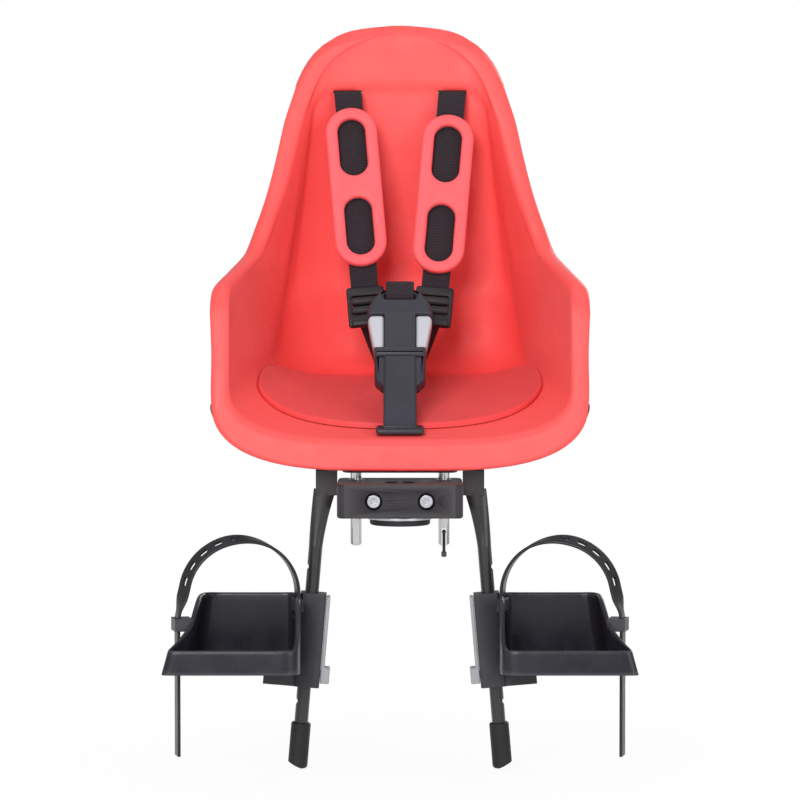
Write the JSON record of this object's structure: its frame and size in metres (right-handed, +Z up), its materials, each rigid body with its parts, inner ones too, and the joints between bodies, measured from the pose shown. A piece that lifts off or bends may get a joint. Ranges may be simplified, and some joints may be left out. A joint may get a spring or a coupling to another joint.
{
  "type": "front child bicycle seat",
  "caption": "Front child seat for a bicycle: foam bucket with harness on a steel carrier, sliding footrests with straps, and a stem clamp.",
  "frame": {"origin": "on the axis of the stem clamp's bore, at mid-height of the clamp block", "axes": "+Z up along the stem and the pins, -Y the way the child faces, +X to the right as seen from the front"},
  "size_m": [0.404, 0.3125, 0.6587],
  "materials": {
    "coral_foam": "moulded foam with a fine skin",
    "coral_pad": "soft foam pad",
    "black_plastic": "moulded black plastic",
    "dark_grey_plastic": "moulded dark grey plastic",
    "light_grey_plastic": "moulded light grey plastic",
    "dark_steel": "dark powder coat",
    "zinc_steel": "zinc plated",
    "chrome": "polished chrome",
    "black_rubber": "black rubber",
    "webbing": "woven webbing"
  },
  "bodies": {
    "clamp": {"clamp_front": "black_plastic", "clamp_rear": "black_plastic", "clamp_bolts": "zinc_steel", "clamp_nuts": "zinc_steel", "stem_bush": "black_rubber", "bush_washer": "zinc_steel", "pin_bushes": "chrome"},
    "seat": {"carrier_plate": "dark_steel", "plate_screws": "zinc_steel", "leg_bolts": "zinc_steel", "pin_left": "chrome", "pin_right": "chrome", "latch_pivot": "zinc_steel", "seat_shell": "coral_foam", "base_shell": "black_plastic", "seat_pad": "coral_pad", "buckle_post": "dark_grey_plastic", "buckle_body": "dark_grey_plastic", "buckle_loop": "webbing", "strap_anchors": "black_plastic", "leg_left": "dark_steel", "leg_cap_left": "black_rubber", "shoulder_strap_left": "webbing", "adjuster_left": "dark_grey_plastic", "lower_strap_left": "webbing", "leg_right": "dark_steel", "leg_cap_right": "black_rubber", "shoulder_strap_right": "webbing", "adjuster_right": "dark_grey_plastic", "lower_strap_right": "webbing"},
    "latch": {"pin_latch": "black_plastic"},
    "footrest_left": {"footrest_left": "dark_grey_plastic", "foot_strap_left": "black_rubber"},
    "lock_left": {"footrest_lock_left": "light_grey_plastic"},
    "pad_left": {"shoulder_pad_left": "coral_pad"},
    "button_left": {"buckle_button_left": "light_grey_plastic"},
    "footrest_right": {"footrest_right": "dark_grey_plastic", "foot_strap_right": "black_rubber"},
    "lock_right": {"footrest_lock_right": "light_grey_plastic"},
    "pad_right": {"shoulder_pad_right": "coral_pad"},
    "button_right": {"buckle_button_right": "light_grey_plastic"}
  },
  "joints": [
    {"name": "seat_lift", "type": "slide", "parent": "clamp", "child": "seat", "axis": [0, 0, 1], "range_m": [0, 0.08]},
    {"name": "latch_swing", "type": "hinge", "parent": "seat", "child": "latch", "pos_m": [0.0383, 0.04, -0.032], "axis": [1, 0, 0], "range_deg": [-90, 90]},
    {"name": "footrest_left_slide", "type": "slide", "parent": "seat", "child": "footrest_left", "axis": [0.0832, 0, 0.9965], "range_m": [-0.028, 0.036]},
    {"name": "lock_left_pull", "type": "slide", "parent": "footrest_left", "child": "lock_left", "axis": [0.9965, 0, -0.0832], "range_m": [0, 0.004], "stiffness_N_per_m": 600, "springref_m": -0.002},
    {"name": "button_left_press", "type": "slide", "parent": "seat", "child": "button_left", "axis": [1, 0, 0], "range_m": [0, 0.0025], "stiffness_N_per_m": 500, "springref_m": -0.002},
    {"name": "shoulder_pad_left_slide", "type": "slide", "parent": "seat", "child": "pad_left", "axis": [0.0847, -0.3253, -0.9418], "range_m": [-0.012, 0.012]},
    {"name": "footrest_right_slide", "type": "slide", "parent": "seat", "child": "footrest_right", "axis": [-0.0832, 0, 0.9965], "range_m": [-0.028, 0.036]},
    {"name": "lock_right_pull", "type": "slide", "parent": "footrest_right", "child": "lock_right", "axis": [-0.9965, 0, -0.0832], "range_m": [0, 0.004], "stiffness_N_per_m": 600, "springref_m": -0.002},
    {"name": "button_right_press", "type": "slide", "parent": "seat", "child": "button_right", "axis": [-1, 0, 0], "range_m": [0, 0.0025], "stiffness_N_per_m": 500, "springref_m": -0.002},
    {"name": "shoulder_pad_right_slide", "type": "slide", "parent": "seat", "child": "pad_right", "axis": [-0.0847, -0.3253, -0.9418], "range_m": [-0.012, 0.009]}
  ]
}
